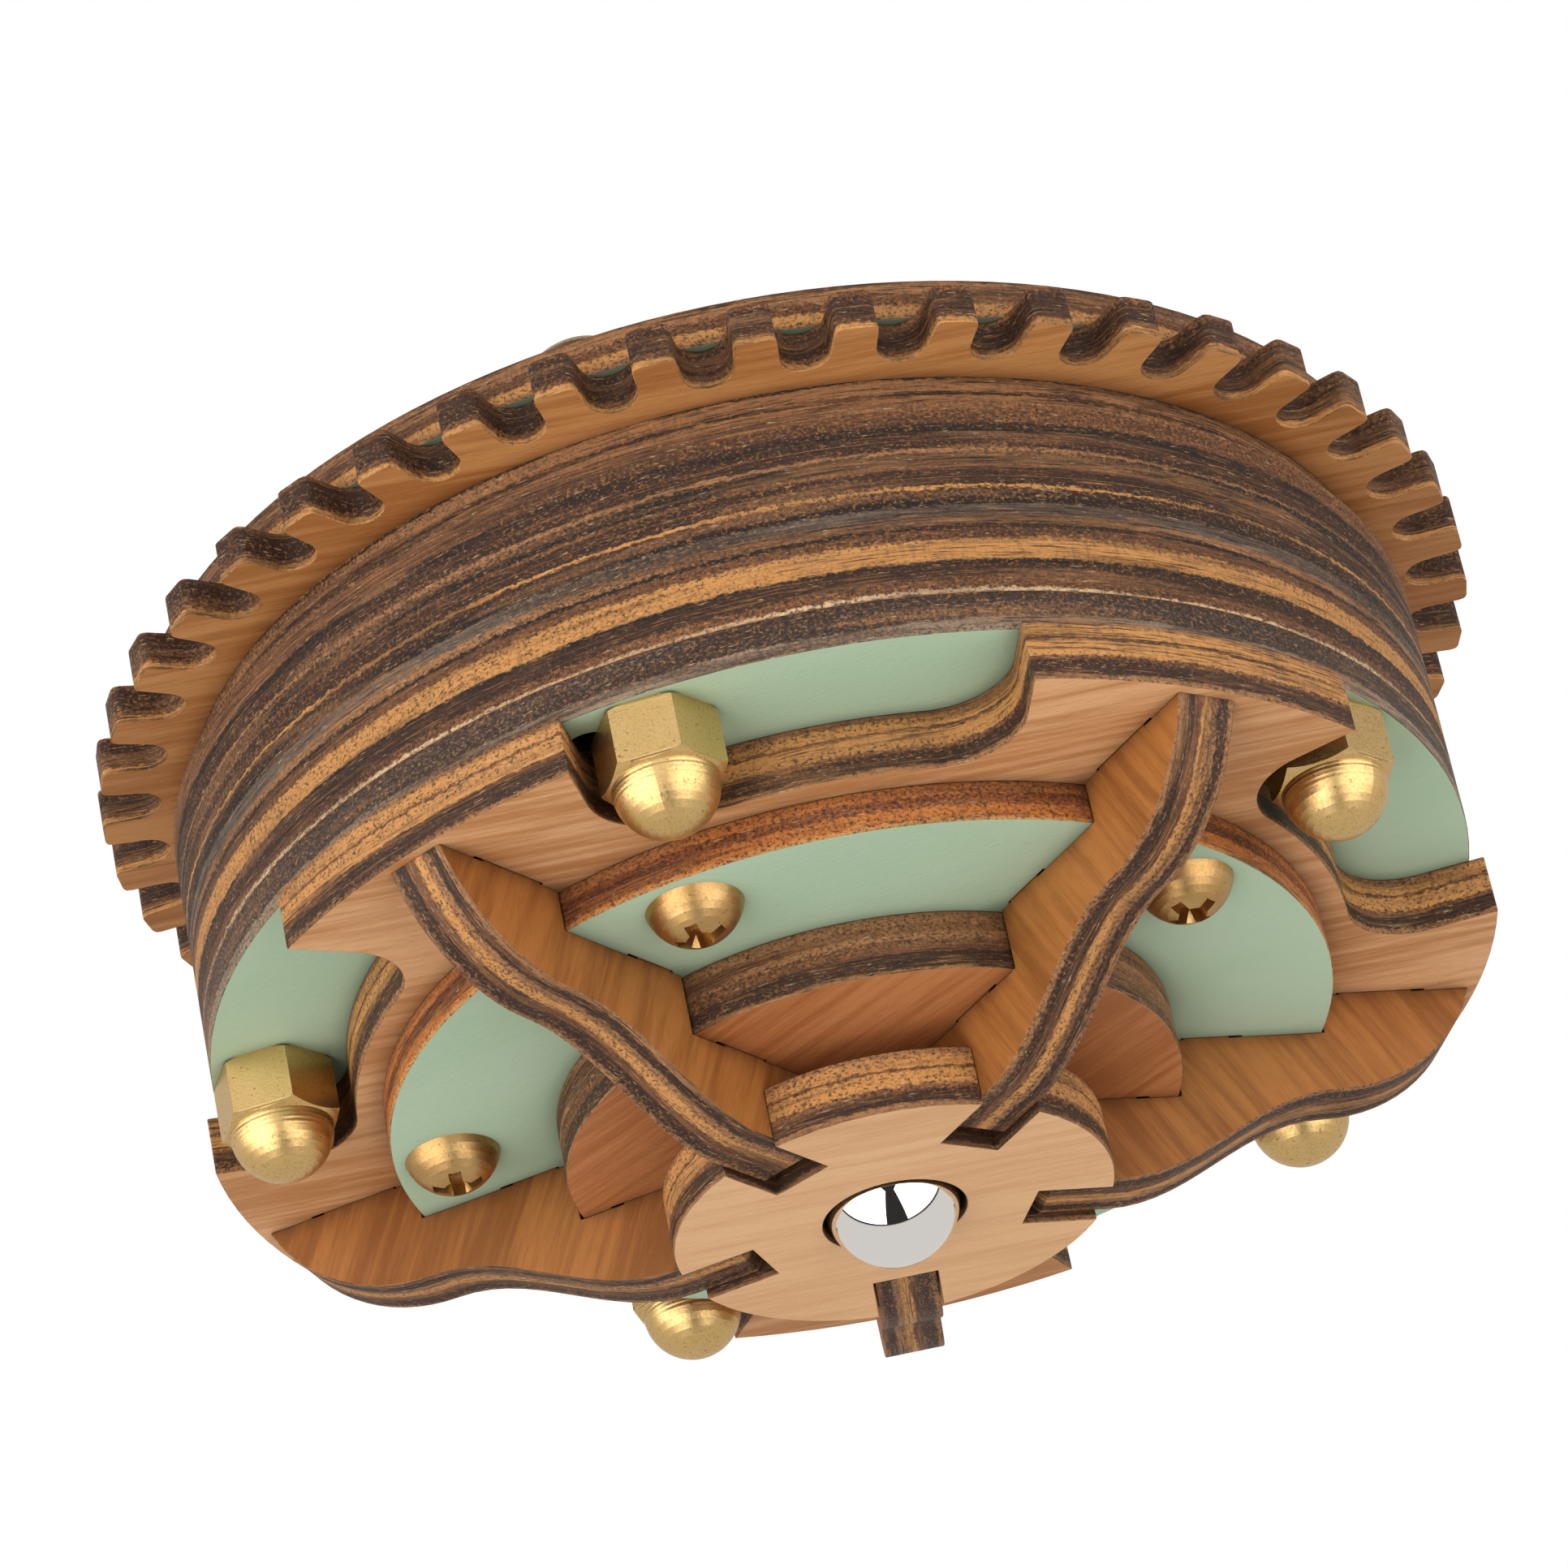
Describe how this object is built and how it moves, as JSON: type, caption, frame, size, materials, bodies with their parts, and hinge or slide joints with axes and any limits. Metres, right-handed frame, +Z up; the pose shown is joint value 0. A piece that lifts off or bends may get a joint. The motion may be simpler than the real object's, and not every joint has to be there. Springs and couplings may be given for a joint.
{
  "type": "wind up music box",
  "caption": "Round music box of stacked plywood with a toothed rim, a star-shaped foot of curved ribs and a steel pivot ball; a clockwork movement with a pinned cylinder and comb sits inside.",
  "frame": {"origin": "the lowest point of the pivot ball, on the drum's axis", "axes": "+Z up the drum's axis, from the pivot ball to the winding key; +X along rib 1"},
  "size_m": [0.0884, 0.0884, 0.0589],
  "materials": {
    "drum_plywood": "laser-cut plywood edges, charred dark between light veneers",
    "rim_plywood": "bare plywood, charred edges",
    "green_plywood": "satin sage-green paint on plywood",
    "star_plywood": "bare plywood, fine grain, charred edges",
    "hub_plywood": "bare plywood, fine grain, charred edges",
    "rib_plywood": "bare plywood with laminated edges",
    "polished_steel": "polished bearing ball",
    "cup_metal": "turned, dark",
    "magnet_plating": "nickel plated",
    "fastener_brass": "bead-blasted hexagons, turned domes",
    "movement_brass": "stamped and turned brass",
    "movement_steel": "ground steel",
    "fan_aluminium": "thin sheet"
  },
  "bodies": {
    "case": {"base_plate": "green_plywood", "drum_ring_1": "drum_plywood", "drum_ring_2": "drum_plywood", "drum_ring_3": "drum_plywood", "drum_ring_4": "drum_plywood", "drum_ring_5": "drum_plywood", "neck_ring": "drum_plywood", "toothed_ring": "rim_plywood", "top_disc": "rim_plywood", "star_plate": "star_plywood", "screw_disc": "green_plywood", "inner_disc": "star_plywood", "hub_plate": "hub_plywood", "rib_1": "rib_plywood", "rib_2": "rib_plywood", "rib_3": "rib_plywood", "rib_4": "rib_plywood", "rib_5": "rib_plywood", "ball_cup": "cup_metal", "cup_magnet": "magnet_plating", "through_bolts": "fastener_brass", "acorn_nuts": "fastener_brass", "disc_screws": "fastener_brass", "disc_nuts": "fastener_brass", "bedplate": "movement_brass", "bedplate_screws": "fastener_brass", "pillars": "movement_brass", "bridge": "movement_brass", "bridge_screws": "movement_steel", "comb": "movement_steel", "comb_block": "movement_brass", "comb_screws": "movement_steel", "clutch_spring": "movement_steel"},
    "winder": {"winding_arbor": "movement_steel", "winding_key": "movement_brass"},
    "barrel": {"barrel": "movement_brass", "barrel_cover": "movement_brass", "mainspring": "movement_steel", "great_wheel": "movement_brass", "pinned_cylinder": "movement_brass"},
    "first_wheel": {"first_wheel": "movement_brass", "first_pinion": "movement_steel"},
    "second_wheel": {"second_wheel": "movement_brass", "second_pinion": "movement_steel"},
    "fan": {"fan_pinion": "movement_steel", "fan_blade": "fan_aluminium"},
    "ball": {"pivot_ball": "polished_steel"}
  },
  "joints": [
    {"name": "ball_spin", "type": "hinge", "parent": "case", "child": "ball", "pos_m": [0, 0, 0.004], "axis": [0, 0, 1], "continuous": true},
    {"name": "winder_turn", "type": "hinge", "parent": "case", "child": "winder", "pos_m": [0, 0, 0.045], "axis": [0, 0, 1], "continuous": true},
    {"name": "barrel_spin", "type": "hinge", "parent": "case", "child": "barrel", "pos_m": [0, 0, 0.03], "axis": [0, 0, 1], "continuous": true},
    {"name": "first_wheel_spin", "type": "hinge", "parent": "case", "child": "first_wheel", "pos_m": [0.01526, 0.00269, 0.03], "axis": [0, 0, 1], "continuous": true},
    {"name": "second_wheel_spin", "type": "hinge", "parent": "case", "child": "second_wheel", "pos_m": [0.01246, 0.01487, 0.03], "axis": [0, 0, 1], "continuous": true},
    {"name": "fan_spin", "type": "hinge", "parent": "case", "child": "fan", "pos_m": [0.00765, 0.02127, 0.03], "axis": [0, 0, 1], "continuous": true}
  ],
  "couplings": [
    {"joint": "first_wheel_spin", "follows": "barrel_spin", "ratio": -5.2},
    {"joint": "second_wheel_spin", "follows": "barrel_spin", "ratio": 20.8},
    {"joint": "fan_spin", "follows": "barrel_spin", "ratio": -62.4}
  ]
}
